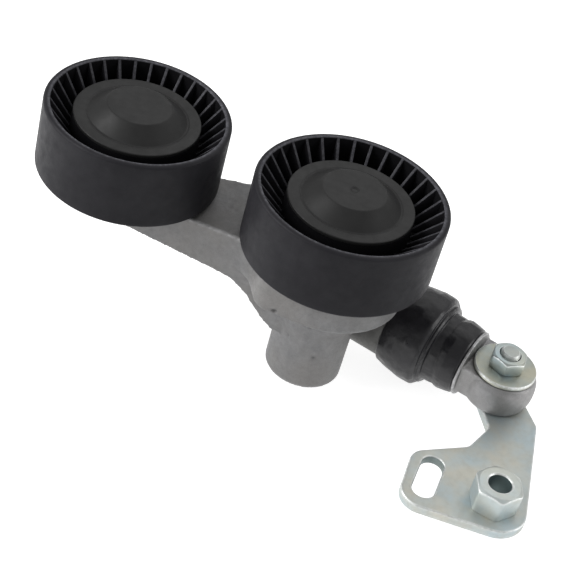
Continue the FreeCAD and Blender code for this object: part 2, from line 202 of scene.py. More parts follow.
def ring_grid(rows, columns, closed=True):
    """Quads over rows x columns of points that wrap round in columns, and in rows too if closed."""
    faces = []
    for i in range(rows if closed else rows - 1):
        near, far = i * columns, (i + 1) % rows * columns
        for j in range(columns):
            k = (j + 1) % columns
            faces.append((near + j, near + k, far + k, far + j))
    return faces


def turned(name, profile, centre, axis=Vector((0, 0, 1)), steps=TURN_STEPS, shape=None, longest=2.0):
    """Turned piece from a closed (radius, height, corner radius) outline in millimetres about an axis
    through centre. shape(radius, height, angle) may return a changed radius."""
    outline = split_long(rounded(profile), longest)
    turn = axis.to_track_quat("Z", "Y").to_matrix()
    vertices = []
    for radius, height in outline:
        for step in range(steps):
            angle = TAU * step / steps
            r = max(shape(radius, height, angle) if shape else radius, 0.0)
            spot = Vector((r * math.cos(angle), r * math.sin(angle), height)) * MM
            vertices.append(centre + turn @ spot)
    piece = new_piece(name, vertices, ring_grid(len(outline), steps))
    weld(piece)
    return shade(piece)


# Wheels

RIB_COUNT = 33
RIB_HALF = 0.56            # half a rib's thickness at its top
RIB_DROP = 0.45            # rib's outer end below the rim's edge
RIB_FOOT = 0.7             # rib's inner end above the web
RIB_WEAR_AND_LIGHT = 0.55            # how bright a rib's crest is painted, partly wear and partly painted highlight
CREST_WIDTH = 0.5          # of the rim's inner crest, painted bright as wear and painted highlight
CREST_HEIGHT = 0.3
FIRST_RIB = {"pulley_1": math.radians(6.4), "pulley_2": math.radians(8.3)}
HUB_R = 24.25
HUB_EDGE = 0.25            # how far the cap's seat stops short of the hub's outside
WEB_HALF = 1.5             # half the web's thickness
RIM_WALL = 2.6
RIM_ROUND = 1.2            # radius of the rim's outer edges
RIM_INNER_ROUND = 0.45     # radius of its inner edges
POCKET_DRAFT = 0.3         # how far a pocket's hub and rim sides lean
POCKET_FILLET = 0.7        # radius at the foot of those sides
POCKET_FOOT = POCKET_DRAFT + POCKET_FILLET
FILLET_STEPS = 3
CAP_RING_DROP = 3.1        # the cap's ring below the rim's top
CAP_WALL = 1.4
CAP_SEAT_DROP = CAP_RING_DROP + CAP_WALL
CAP_RISE = 5.0             # the cap's flat centre above its ring
CAP_SKIRT = 1.3            # the cap's skirt below its ring's underside
DIMPLE_DEPTH = 0.45
HUB_RECESS = 2.5           # the hub's underside above the rim's
BEARING_R = 20.0
BEARING_HALF = 6.0         # half the bearing's width
LIP_R = 18.8               # the lips that hold the bearing, inside its radius
# One half of a rib and its pocket, each column with its offset from the rib's middle in rib halves, how far
# it is below the rib's top or else how far above the pocket's floor, and how much painted shade darkens it
RIB_COLUMNS = [
    (0.0, 0.0, None, 0.0), (0.55, 0.02, None, 0.0), (0.85, 0.1, None, 0.0), (1.0, 0.32, None, 0.3),
    (1.12, None, 0.7, 1.0), (1.3, None, 0.2, 1.0), (1.75, None, 0.0, 1.0)]
POCKET_MIDDLE = "middle"


def arc_rows(centre_a, centre_b, radius, start, end, steps):
    """Points of an arc, angles in degrees."""
    rows = []
    for step in range(steps + 1):
        angle = math.radians(start + (end - start) * step / steps)
        rows.append((centre_a + radius * math.cos(angle), centre_b + radius * math.sin(angle)))
    return rows


def pocket_rows(radius, top, floor, side):
    """Rows across one side's pockets, from the hub out to the rim: (radius, floor height, rib height).
    side is 1 for the upper side and -1 for the lower one; heights grow upwards."""
    inner = radius - RIM_WALL
    drop = CAP_SEAT_DROP if side > 0 else HUB_RECESS
    depth = abs(top - floor) - drop
    rim_depth = abs(top - floor) - RIB_DROP
    rows = []

    def row(r, height):
        share = (r - HUB_R) / (inner - HUB_R)
        rib = RIB_FOOT + (rim_depth - RIB_FOOT) * min(max(share, 0.0), 1.0)
        rows.append((r, floor + side * height, floor + side * rib))

    for share in (1.0, 0.97, 0.9, 0.6, 0.3):
        row(HUB_R + POCKET_DRAFT * (1 - share), max(depth * share, POCKET_FILLET))
    for step in range(FILLET_STEPS + 1):
        angle = math.radians(90 * step / FILLET_STEPS)
        out, down = 1 - math.cos(angle), 1 - math.sin(angle)
        row(HUB_R + POCKET_DRAFT + POCKET_FILLET * out, POCKET_FILLET * down)
    for share in (0.2, 0.4, 0.6, 0.8):
        row(HUB_R + POCKET_FOOT + (inner - HUB_R - 2 * POCKET_FOOT) * share, 0.0)
    for step in range(FILLET_STEPS + 1):
        angle = math.radians(90 * step / FILLET_STEPS)
        inward, up = 1 - math.sin(angle), 1 - math.cos(angle)
        row(inner - POCKET_DRAFT - POCKET_FILLET * inward, POCKET_FILLET * up)
    for share in (0.3, 0.6, 0.9, 0.98):
        row(inner - POCKET_DRAFT * (1 - share), max(rim_depth * share, POCKET_FILLET))
    return rows


def wheel(prefix):
    """Moulded belt wheel: rounded rim, hub round the bearing, and ribs with drafted sides and filleted
    roots. Each row across it is (radius, floor height, rib height)."""
    node = prefix + "_wheel"
    low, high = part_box(node)
    centre = (low + high) / 2
    radius = (high.x - low.x) / 2 / MM
    top = (high.z - centre.z) / MM
    lip = middle_of(prefix + "_bearing_outer").z / MM - centre.z / MM
    lip_top, lip_low = lip + BEARING_HALF, lip - BEARING_HALF
    inner = radius - RIM_WALL
    rows = []

    def plain(outline):
        rows.extend((r, z, z) for r, z in outline)

    def rim_edge(side, start, end):
        """Rounded outer edge; side is 1 for the upper one and -1 for the lower one."""
        plain(arc_rows(radius - RIM_ROUND, side * (top - RIM_ROUND), RIM_ROUND, start, end, 8))

    def rim_inner_edge(side, start, end):
        corner = RIM_INNER_ROUND
        plain(arc_rows(inner + corner, side * (top - corner), corner, start, end, 4))

    plain([
        (BEARING_R, lip_low + 0.1), (BEARING_R, lip), (BEARING_R, lip_top - 0.1), (BEARING_R - 0.1, lip_top),
        (LIP_R, lip_top), (LIP_R, lip_top + 1.4), (LIP_R + 0.2, lip_top + 1.5), (BEARING_R, lip_top + 1.6),
        (BEARING_R, top - CAP_SEAT_DROP - 0.3), (BEARING_R + 0.3, top - CAP_SEAT_DROP),
        (HUB_R - HUB_EDGE, top - CAP_SEAT_DROP)])
    rows += pocket_rows(radius, top, WEB_HALF, 1)
    rim_inner_edge(1, 180, 90)
    rim_edge(1, 90, 0)
    plain((radius, top * share) for share in (0.75, 0.5, 0.25, 0, -0.25, -0.5, -0.75))
    rim_edge(-1, 0, -90)
    rim_inner_edge(-1, -90, -180)
    rows += pocket_rows(radius, -top, -WEB_HALF, -1)[::-1]
    plain([
        (HUB_R - HUB_EDGE, HUB_RECESS - top), (LIP_R + 0.3, HUB_RECESS - top),
        (LIP_R, HUB_RECESS + 0.3 - top), (LIP_R, lip_low - 0.1),
        (LIP_R + 0.1, lip_low), (BEARING_R - 0.1, lip_low)])

    columns = [(c, 1) for c in RIB_COLUMNS] + [(POCKET_MIDDLE, 1)] + [(c, -1) for c in RIB_COLUMNS[:0:-1]]
    # Painted shade darkens the pockets; the rim's inner crest and the rib crests get a painted highlight
    # that also stands for wear.
    vertices, recess_shade, wear_and_highlight = [], [], []
    for r, floor, rib in rows:
        side = 1 if floor > 0 else -1
        in_pocket = HUB_R - 0.1 < r < inner and floor != rib
        worn_and_lit = inner < r < inner + CREST_WIDTH and abs(floor) > top - CREST_HEIGHT
        for k in range(RIB_COUNT):
            for column, way in columns:
                base = FIRST_RIB[prefix] + TAU * (k + (0 if way > 0 else 1)) / RIB_COUNT
                deep = 1.0
                if column == POCKET_MIDDLE:
                    angle, height = base + TAU / RIB_COUNT / 2, floor
                else:
                    offset, below, above, deep = column
                    if side * (rib - floor) <= 0:
                        deep = 1.0
                    angle = base + way * math.asin(offset * RIB_HALF / r)
                    if below is None:
                        height = floor + side * min(above, max(side * (rib - floor), 0.0))
                    else:
                        height = floor + side * max(side * (rib - floor) - below, 0.0)
                vertices.append(centre + Vector((r * math.cos(angle), r * math.sin(angle), height)) * MM)
                recess_shade.append(deep if in_pocket else 0.0)
                wear_and_highlight.append(1.0 if worn_and_lit else RIB_WEAR_AND_LIGHT if in_pocket and deep == 0 else 0.0)
    piece = new_piece(prefix + "_wheel_visual", vertices, ring_grid(len(rows), RIB_COUNT * len(columns)))
    store(piece, "recess_shade", recess_shade)
    store(piece, "wear_and_highlight", wear_and_highlight)
    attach(piece, prefix)
    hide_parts(node)
    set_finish(piece, "wheel_plastic")


def dust_cap(prefix, has_dimple):
    """Moulded cap: flat ring, shallow groove, truncated cone and, where it has one, its gate's dimple."""
    node = prefix + "_dust_cap"
    centre = middle_of(node)
    centre.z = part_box(node)[0].z
    ring = (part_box(prefix + "_wheel")[1].z - centre.z) / MM - CAP_RING_DROP
    under = ring - CAP_WALL
    flat = ring + CAP_RISE
    middle = [(0, flat, 0)]
    if has_dimple:
        middle = [(0, flat - DIMPLE_DEPTH, 0), (1.0, flat - DIMPLE_DEPTH, 0.4), (1.9, flat, 0.5)]
    profile = middle + [
        (12.2, flat, 1.0), (18.8, ring - 0.1, 1.2), (19.2, ring - 0.2, 0.3), (19.8, ring, 0.4),
        (HUB_R, ring, 0.45), (HUB_R, under, 0.2), (19.9, under, 0.2), (19.9, under - CAP_SKIRT, 0.3),
        (18.5, under - CAP_SKIRT, 0.3), (18.5, under, 0.3), (11.0, flat - CAP_WALL, 1.0),
        (0, flat - CAP_WALL, 0)]
    piece = turned(prefix + "_dust_cap_visual", profile, centre)
    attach(piece, prefix)
    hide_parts(node)
    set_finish(piece, "cap_plastic")


# Castings

ARM_TOP = 56.8             # height of the arm's machined top face
ARM_MARKS = [              # pits and casting marks on the arm, each also darkened with painted shade: (place, radius, depth)
    ((5.6, -14.2, 17.1), 0.8, 0.4), ((-6.4, -13.9, 22.9), 0.6, 0.3), ((-11.9, -29.5, 44.4), 0.9, 0.7),
    ((-11.2, -29.5, 45.0), 0.6, 0.5), ((-1.0, -16.6, 32.4), 0.7, 0.25), ((1.2, -16.2, 32.2), 0.7, 0.25)]
CAST_SMOOTH_ANGLE = math.radians(60)
CAST_WAVE = 9 * MM         # size of a casting's unevenness
CONVEXITY_ROUNDS = 4       # how many times the convexity is averaged with its neighbours'
WEAR_AND_LIGHT_START = 0.4           # how far up a casting's sharpness scale its painted edge highlight and wear begin
MACHINED_BAND = 0.9        # how near a machined height an edge gets its painted highlight
DARK_DENT = 0.6            # depth from which a dent's painted shade is fully dark
BOSS_EDGE = 0.5            # the boss's machined lower edge above the arm's lowest point
REMESH_TILT = Euler((0.5, 0.35, 0.6)).to_matrix().to_4x4()     # keeps long edges off the voxels' axes


def evaluated(piece):
    """The piece with its modifiers applied."""
    graph = bpy.context.evaluated_depsgraph_get()
    mesh = bpy.data.meshes.new_from_object(piece.evaluated_get(graph), depsgraph=graph)
    piece.modifiers.clear()
    piece.data = mesh
    return mesh


def convexity(mesh, spots, normals):
    """How far each vertex stands out from its neighbours, averaged over a few rings of them."""
    ends = np.zeros(len(mesh.edges) * 2, dtype=int)
    mesh.edges.foreach_get("vertices", ends)
    first, second = ends.reshape(-1, 2).T
    degree = np.bincount(ends, minlength=len(spots))

    def around(values):
        return (np.bincount(first, values[second], len(spots))
                + np.bincount(second, values[first], len(spots))) / degree

    middle = np.stack([around(spots[:, axis]) for axis in range(3)], axis=1)
    outward = ((spots - middle) * normals).sum(axis=1)
    for _ in range(CONVEXITY_ROUNDS):
        outward = (outward + around(outward)) / 2
    return outward


def cast_skin(node, body, slot_name, voxel, passes, swell, dents=(), machined=None, sharpness=0.05):
    """Cast version of a CAD node: remeshed, its edges softened, its faces uneven by about swell, and dented
    at (place, radius, depth) in millimetres, each dent darkened with painted shade. Its edges are painted
    bright, partly as wear and partly as a painted highlight, or if machined gives heights, only the edges at
    those heights. A lower sharpness brightens gentler edges."""
    piece = bpy.data.objects.new(node + "_visual", frame["nodes"][node].data.copy())
    piece.data.transform(REMESH_TILT)
    bpy.context.scene.collection.objects.link(piece)
    merge = piece.modifiers.new("merge", "WELD")
    merge.merge_threshold = TOUCH
    remesh = piece.modifiers.new("remesh", "REMESH")
    remesh.mode = "VOXEL"
    remesh.voxel_size = voxel * MM
    soften = piece.modifiers.new("soften", "SMOOTH")
    soften.factor = 0.5
    soften.iterations = passes
    mesh = evaluated(piece)
    mesh.transform(REMESH_TILT.inverted())
    count = len(mesh.vertices)
    spots = np.zeros(count * 3)
    normals = np.zeros(count * 3)
    mesh.vertices.foreach_get("co", spots)
    mesh.vertices.foreach_get("normal", normals)
    spots, normals = spots.reshape(-1, 3), normals.reshape(-1, 3)
    lift = np.array([noise.fractal(Vector(p) / CAST_WAVE, 0.9, 2.0, 2) for p in spots]) * swell
    outward = convexity(mesh, spots, normals) / MM
    wear_and_highlight = np.clip(outward / (sharpness * voxel) - WEAR_AND_LIGHT_START, 0, 1)
    if machined is not None:
        wear_and_highlight *= np.clip(sum(np.exp(-((spots[:, 2] / MM - z) / MACHINED_BAND) ** 2) for z in machined), 0, 1)
    shadow = np.zeros(count)
    for place, radius, depth in dents:
        away = np.linalg.norm(spots / MM - np.array(place), axis=1) / radius
        lift -= depth * np.exp(-away ** 2)
        shadow = np.maximum(shadow, np.exp(-away ** 4) * min(depth / DARK_DENT, 1.0))
    spots += normals * (lift * MM)[:, None]
    mesh.vertices.foreach_set("co", spots.ravel())
    store(piece, "recess_shade", shadow)
    store(piece, "wear_and_highlight", wear_and_highlight)
    mesh.materials.clear()
    shade(piece, CAST_SMOOTH_ANGLE)
    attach(piece, body)
    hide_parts(node)
    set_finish(piece, slot_name)


# Boot

BOOT_PROFILE = [           # (station from the rear pin, radius, corner radius), the outside first
    (57.6, 16.25, 0), (57.6, 17.0, 0.3), (58.1, 17.5, 0.4), (61.0, 18.2, 2.0), (64.5, 18.85, 3.0),
    (69.0, 19.5, 4.0), (74.3, 19.3, 1.5), (75.6, 18.0, 0.6), (75.9, 16.9, 0.5), (76.7, 17.1, 0.35),
    (77.5, 16.2, 0.5), (77.7, 14.9, 0.5), (79.0, 14.75, 1.0), (81.5, 14.6, 2.0), (84.6, 15.05, 2.0),
    (88.0, 14.55, 2.0), (89.8, 14.2, 0.5), (90.6, 13.5, 0.4), (90.6, 12.6, 0.3), (84.0, 12.9, 2.0),
    (79.0, 13.0, 1.0), (76.0, 13.6, 1.0), (74.2, 16.8, 1.0), (69.0, 17.4, 2.0), (66.0, 16.3, 0.5)]
BOOT_SMOOTH_ANGLE = math.radians(70)
BOOT_GRIPS = (58.5, 90.2)  # stations beyond which the rubber is held round, with no folds
FOLDS_FADE = (4, 3)        # over how much the folds fade out towards each of them
FOLD_DEPTH = 0.26
CREASE_STATION = 81.6
CREASE_WANDER = 0.8
CREASE_WIDTH = 0.6


def boot():
    """Rubber boot: the large roll grips the housing, the long sleeve ends against the rod end's flange."""
    def dent(radius, station, angle):
        rear = min(max((station - BOOT_GRIPS[0]) / FOLDS_FADE[0], 0.0), 1.0)
        front = min(max((BOOT_GRIPS[1] - station) / FOLDS_FADE[1], 0.0), 1.0)
        spot = Vector((math.cos(angle) * 2.2, math.sin(angle) * 2.2, station / 9))
        folds = noise.fractal(spot, 0.8, 2.1, 3) * FOLD_DEPTH
        off_crease = station - CREASE_STATION - CREASE_WANDER * math.sin(angle * 2 + 0.6)
        crease = math.exp(-((off_crease / CREASE_WIDTH) ** 2)) * -FOLD_DEPTH
        return radius + rear * front * (folds + crease)

    profile = [(radius, station, corner) for station, radius, corner in BOOT_PROFILE]
    piece = turned("boot_visual", profile, REAR_PIN, STRUT_AXIS, 256, dent, longest=0.8)
    shade(piece, BOOT_SMOOTH_ANGLE)
    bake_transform(piece)
    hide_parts("boot_outer", "boot_inner")
    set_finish(piece, "boot_rubber")


# Spring

def main_spring():
    """Compression spring with closed end coils."""
    coil_r, wire_r = 10.7, 1.2
    start, end = 60.4, 89.3            # stations of the wire's middle at its two ends
    end_pitch, turns = 2.5, 6
    open_pitch = (end - start - 2 * end_pitch) / (turns - 2)
    steps, around = 72, 16
    turn = STRUT_AXIS.to_track_quat("Z", "Y").to_matrix()

    def station(turned_by):
        before = min(turned_by, 1.0) * end_pitch
        after = max(turned_by - turns + 1, 0.0) * end_pitch
        return start + before + after + min(max(turned_by - 1, 0.0), turns - 2) * open_pitch

    vertices = []
    for step in range(turns * steps + 1):
        turned_by = step / steps
        out = Vector((math.cos(TAU * turned_by), math.sin(TAU * turned_by), 0))
        for side in range(around):
            angle = TAU * side / around
            spot = out * (coil_r + wire_r * math.cos(angle))
            spot.z = station(turned_by) + wire_r * math.sin(angle)
            vertices.append(REAR_PIN + turn @ spot * MM)
    rings = turns * steps + 1
    faces = ring_grid(rings, around, closed=False)
    faces += [tuple(range(around))[::-1], tuple(range((rings - 1) * around, rings * around))]
    piece = new_piece("main_spring_visual", vertices, faces)
    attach(piece, "strut_housing")
    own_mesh(piece)
    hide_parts("main_spring")
    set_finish(piece, "spring_steel")


# Fasteners

HEX_STEPS = 12             # points along each side of a hexagon
HEX_EDGE = 0.12            # how far a hexagon's turned edges are rounded
HEX_SLOPE = math.tan(math.radians(28))     # of its turned chamfers
BORE_CHAMFER = 0.55
EYE_HOLE_R = 4.15          # hole in the large washer
WASHER_R = 12.6
STANDOFF_HOLE_R = 4.5
SPIGOT_R = 6.45            # the standoff's end that is riveted into the plate
SPIGOT_OVERLAP = 0.02
STUD_R = 4.0
STUD_HEAD_R = 7.0
THREAD_START = 17.0        # the thread's start above the stud's head face
THREAD_PITCH = 1.25
THREAD_DEPTH = 0.62
THREAD_STEP = 0.13         # height of a row of the thread's points
THREAD_RUN_IN = 1.5        # height over which it reaches its depth
END_BAND = 0.5             # how near its end a stud's or washer's edge is painted bright, as wear and painted highlight


def hex_rows(flats, low, high, hole, chamfer_share, corner_round, both_ends, turn, shaded_bore):
    """Grid of a hexagonal nut or standoff with turned chamfers: rows of points around it in millimetres,
    each with how bright it is painted, as wear and painted highlight, and how much painted shade darkens it.
    When asked, the bore gets painted shade up to its rim in place of a bright chamfer."""
    half = flats / 2
    angles = [TAU * (side + step / HEX_STEPS) / 6 for side in range(6) for step in range(HEX_STEPS)]
    flat_r = half * chamfer_share
    bore = hole + BORE_CHAMFER
    rows = []

    def hex_radius(angle):
        local = (angle + TAU / 12) % (TAU / 6) - TAU / 12
        return min(half / math.cos(TAU / 12 - abs(local)), half / math.cos(TAU / 12) - corner_round)

    def edge_height(r, end, way):
        return end - way * max(r - flat_r, 0.0) * HEX_SLOPE

    def add(radius_of, height_of, wear_and_highlight=0.0, recess_shade=0.0):
        rows.append(([(radius_of(a), height_of(a), a + turn) for a in angles], wear_and_highlight, recess_shade))

    def top_edge(a):
        return edge_height(hex_radius(a), high, 1)

    def bottom_edge(a):
        return edge_height(hex_radius(a), low, -1) + HEX_EDGE if both_ends else low + 0.1

    add(lambda a: hole, lambda a: high - BORE_CHAMFER, 0.0, 1.0)
    add(lambda a: hole + 0.12, lambda a: high - 0.45, 0.0 if shaded_bore else 0.7, 1.0 if shaded_bore else 0.0)
    add(lambda a: bore - 0.08, lambda a: high - 0.05, 0.0 if shaded_bore else 1.0, 0.8 if shaded_bore else 0.0)
    add(lambda a: bore + 0.08, lambda a: high, 0.8)
    add(lambda a: bore + 0.3, lambda a: high)
    add(lambda a: flat_r - 0.15, lambda a: high)
    add(lambda a: flat_r + 0.1, lambda a: high - 0.03, 0.3)
    for share, wear_and_highlight in ((0.4, 0.0), (0.8, 0.1)):
        add(lambda a, s=share: flat_r + (hex_radius(a) - flat_r) * s,
            lambda a, s=share: edge_height(flat_r + (hex_radius(a) - flat_r) * s, high, 1), wear_and_highlight)
    add(lambda a: hex_radius(a) - 0.08, lambda a: top_edge(a) + 0.03, 1.0)
    add(hex_radius, lambda a: top_edge(a) - HEX_EDGE, 0.9)
    for share in (0.1, 0.4, 0.7):
        add(hex_radius, lambda a, s=share: (top_edge(a) - HEX_EDGE) * (1 - s) + bottom_edge(a) * s)
    add(hex_radius, bottom_edge)
    if both_ends:
        add(lambda a: hex_radius(a) - 0.08, lambda a: edge_height(hex_radius(a), low, -1) - 0.03)
        add(lambda a: flat_r, lambda a: low)
    else:
        add(lambda a: hex_radius(a) - 0.1, lambda a: low)
    add(lambda a: bore, lambda a: low)
    add(lambda a: hole, lambda a: low + BORE_CHAMFER, 0.0, 1.0)
    return rows


def upright(centre, r, angle, z):
    """Point at a radius and height in millimetres, about the vertical through centre."""
    return (centre.x + r * math.cos(angle) * MM, centre.y + r * math.sin(angle) * MM, z * MM)


def hex_piece(name, rows, centre):
    """Piece made from hex_rows, about the vertical through centre."""
    vertices, wear_and_highlight, recess_shade = [], [], []
    for row, worn_and_lit, deep in rows:
        vertices += [upright(centre, r, a, z) for r, z, a in row]
        wear_and_highlight += [worn_and_lit] * len(row)
        recess_shade += [deep] * len(row)
    piece = new_piece(name, vertices, ring_grid(len(rows), len(rows[0][0])))
    store(piece, "wear_and_highlight", wear_and_highlight)
    store(piece, "recess_shade", recess_shade)
    return piece


def store_end_wear_and_light(piece, centre, top, inner, outer, worn_and_lit):
    """Painted bright ring on a turned piece's upper end, between two radii in millimetres: wear and painted
    highlight.
    """
    values = []
    for vertex in piece.data.vertices:
        reach = math.hypot(vertex.co.x - centre.x, vertex.co.y - centre.y)
        on_edge = inner * MM < reach < outer * MM and vertex.co.z > top - END_BAND * MM
        values.append(worn_and_lit if on_edge else 0.0)
    store(piece, "wear_and_highlight", values)


def eye_nut():
    low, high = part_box("eye_nut")
    rows = hex_rows(flats=13.0, low=low.z / MM, high=high.z / MM, hole=3.9, chamfer_share=0.93,
                    corner_round=0.12, both_ends=True, turn=math.radians(34), shaded_bore=True)
    piece = hex_piece("eye_nut_visual", rows, middle_of("eye_stud"))
    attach(piece, "bracket")
    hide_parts("eye_nut")
    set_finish(piece, "zinc_hardware")


def hex_standoff():
    """Hexagonal standoff and, as a second piece, its spigot in the plate."""
    low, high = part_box("hex_standoff")
    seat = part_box("bracket_plate")[1].z / MM + SPIGOT_OVERLAP
    centre = middle_of("hex_standoff")
    rows = hex_rows(flats=17.0, low=seat, high=high.z / MM, hole=STANDOFF_HOLE_R, chamfer_share=0.9,
                    corner_round=0.25, both_ends=False, turn=math.radians(-9), shaded_bore=False)
    body = hex_piece("hex_standoff_visual", rows, centre)
    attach(body, "bracket")
    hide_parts("hex_standoff")
    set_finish(body, "zinc_hardware")
    foot = low.z / MM
    profile = [(STANDOFF_HOLE_R, foot, 0.3), (SPIGOT_R, foot, 0.3), (SPIGOT_R, seat, 0),
               (STANDOFF_HOLE_R, seat, 0)]
    spigot = turned("standoff_spigot_visual", profile, Vector((centre.x, centre.y, 0)), steps=96)
    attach(spigot, "bracket")
    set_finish(spigot, "zinc_hardware")


def eye_washer():
    low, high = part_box("eye_washer")
    z0, z1 = low.z / MM, high.z / MM
    profile = [(EYE_HOLE_R, z0, 0.1), (WASHER_R, z0, 0.25), (WASHER_R, z1, 0.45), (EYE_HOLE_R, z1, 0.15)]
    centre = middle_of("eye_washer")
    piece = turned("eye_washer_visual", profile, Vector((centre.x, centre.y, 0)))
    store_end_wear_and_light(piece, centre, high.z, WASHER_R - 0.35, WASHER_R + 0.35, 1.0)
    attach(piece, "bracket")
    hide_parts("eye_washer")
    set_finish(piece, "zinc_hardware")


def eye_stud():
    """Stud with a cut M8 thread, a chamfered end and its clinched head."""
    low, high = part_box("eye_stud")
    centre = middle_of("eye_stud")
    z0, z1 = low.z / MM, high.z / MM
    thread_low = z0 + THREAD_START
    steps = 72
    rows = [(0.0, z0, 0), (6.7, z0, 0), (STUD_HEAD_R, z0 + 0.3, 0), (STUD_HEAD_R, z0 + 1.5, 0),
            (6.8, z0 + 1.8, 0), (STUD_R, z0 + 1.8, 0), (STUD_R, thread_low - 0.8, 0)]
    height = thread_low
    while height < z1 - 0.9:
        rows.append((STUD_R, height, min((height - thread_low) / THREAD_RUN_IN, 1.0)))
        height += THREAD_STEP
    rows += [(3.98, z1 - 0.8, 0.2), (3.18, z1, 0), (3.0, z1, 0), (0.0, z1, 0)]
    vertices = []
    for radius, z, cut in rows:
        for j in range(steps):
            angle = TAU * j / steps
            phase = (z / THREAD_PITCH - j / steps) % 1.0
            ridge = min(max(abs(phase - 0.5) * 2.6 - 0.15, 0.0), 1.0)
            r = radius - THREAD_DEPTH * cut * (1 - ridge) if radius > 0 else 0.0
            vertices.append(upright(centre, r, angle, z))
    piece = new_piece("eye_stud_visual", vertices, ring_grid(len(rows), steps, closed=False))
    weld(piece)
    shade(piece)
    store_end_wear_and_light(piece, centre, high.z, 3.1, 3.5, 0.8)
    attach(piece, "bracket")
    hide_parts("eye_stud")
    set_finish(piece, "zinc_hardware")


# Bracket plate

PLATE_THICK = 4.0
PLATE_SPACING = 1.0        # between points along the plate's outlines
PLATE_EDGE = [             # (inset, height, brightness painted as wear and highlight) up the plate's edge
    (0.4, 0.0, 0), (0.12, 0.12, 0.6), (0.0, 0.4, 0.3), (0.0, 2.0, 0), (0.0, 3.0, 0.1), (0.06, 3.42, 0.5),
    (0.2, 3.72, 1.0), (0.45, 3.92, 0.8), (0.85, 4.0, 0)]
SLOT_TOP = 3.6             # height up to which the slot's and holes' walls get painted shade
# how dark the painted shade on those walls is
SLOT_SHADE = 0.8


def boundary_loops(node, height):
    """Closed outlines, as lists of (x, y), of a node's flat face at a height."""
    bm = bmesh.new()
    bm.from_mesh(frame["nodes"][node].data)
    bmesh.ops.remove_doubles(bm, verts=bm.verts, dist=TOUCH)
    flat = [f for f in bm.faces if all(abs(v.co.z - height) < TOUCH for v in f.verts)]
    inside = set(flat)
    links = {}
    for face in flat:
        for loop in face.loops:
            if not any(f in inside for f in loop.edge.link_faces if f is not face):
                links[loop.vert.index] = loop.link_loop_next.vert
    loops = []
    while links:
        start = next(iter(links))
        outline = []
        here = start
        while here in links:
            following = links.pop(here)
            outline.append((following.co.x, following.co.y))
            here = following.index
        loops.append(outline)
    bm.free()
    return loops


def offset_loop(outline, distance):
    """Outline moved to its left by a distance, each point along the mean of its two edges' normals."""
    moved = []
    count = len(outline)
    for i in range(count):
        here = Vector(outline[i])
        before = (here - Vector(outline[i - 1])).normalized()
        after = (Vector(outline[(i + 1) % count]) - here).normalized()
        normal = Vector((-(before.y + after.y), before.x + after.x)).normalized()
        stretch = max(normal.dot(Vector((-before.y, before.x))), 0.5)
        moved.append(here + normal * (distance / stretch))
    return moved


def even_loop(outline, spacing):
    """Outline with long edges split, and points closer than a quarter of the spacing dropped."""
    points = []
    for x, y in outline:
        here = Vector((x, y))
        if not points or (here - points[-1]).length > spacing / 4:
            points.append(here)
    if (points[0] - points[-1]).length <= spacing / 4:
        points.pop()
    result = []
    for i, here in enumerate(points):
        following = points[(i + 1) % len(points)]
        pieces = max(1, round((following - here).length / spacing))
        result += [here.lerp(following, k / pieces) for k in range(pieces)]
    return result


def signed_area(points):
    return sum(a[0] * b[1] - b[0] * a[1] for a, b in zip(points, points[1:] + points[:1])) / 2


def bracket_plate():
    """Stamped plate with rounded upper edges and tighter lower ones, around its slot and holes; the slot's
    and holes' walls get painted shade and its edges are painted bright as wear and painted highlight.
    """
    low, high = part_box("bracket_plate")
    bottom, top = low.z, high.z
    scale = (top - bottom) / (PLATE_THICK * MM)
    loops = [even_loop(o, PLATE_SPACING * MM) for o in boundary_loops("bracket_plate", bottom)]
    largest = max(loops, key=lambda o: abs(signed_area(o)))
    bm = bmesh.new()
    recess_shade = bm.verts.layers.float.new("recess_shade")
    wear_and_highlight = bm.verts.layers.float.new("wear_and_highlight")
    upper, lower = [], []
    for outline in loops:
        outer = outline is largest
        if (signed_area(outline) > 0) != outer:
            outline = outline[::-1]
        previous = None
        for inset, height, worn_and_lit in PLATE_EDGE:
            ring = [bm.verts.new((p.x, p.y, bottom + height * MM * scale))
                    for p in offset_loop(outline, inset * MM)]
            for vertex in ring:
                vertex[recess_shade] = 0.0 if outer or height > SLOT_TOP else SLOT_SHADE
                vertex[wear_and_highlight] = worn_and_lit
            if previous:
                for i in range(len(ring)):
                    k = (i + 1) % len(ring)
                    bm.faces.new((previous[i], previous[k], ring[k], ring[i]))
            else:
                lower += [bm.edges.new((ring[i], ring[(i + 1) % len(ring)])) for i in range(len(ring))]
            previous = ring
        for i in range(len(previous)):
            upper.append(bm.edges.get((previous[i], previous[(i + 1) % len(previous)])))
    bmesh.ops.triangle_fill(bm, use_beauty=True, use_dissolve=False, edges=upper)
    bmesh.ops.triangle_fill(bm, use_beauty=True, use_dissolve=False, edges=lower)
    bmesh.ops.recalc_face_normals(bm, faces=bm.faces)
    mesh = bpy.data.meshes.new("bracket_plate_visual")
    bm.to_mesh(mesh)
    bm.free()
    piece = bpy.data.objects.new("bracket_plate_visual", mesh)
    bpy.context.scene.collection.objects.link(piece)
    shade(piece)
    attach(piece, "bracket")
    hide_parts("bracket_plate")
    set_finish(piece, "zinc_plate")


# Materials

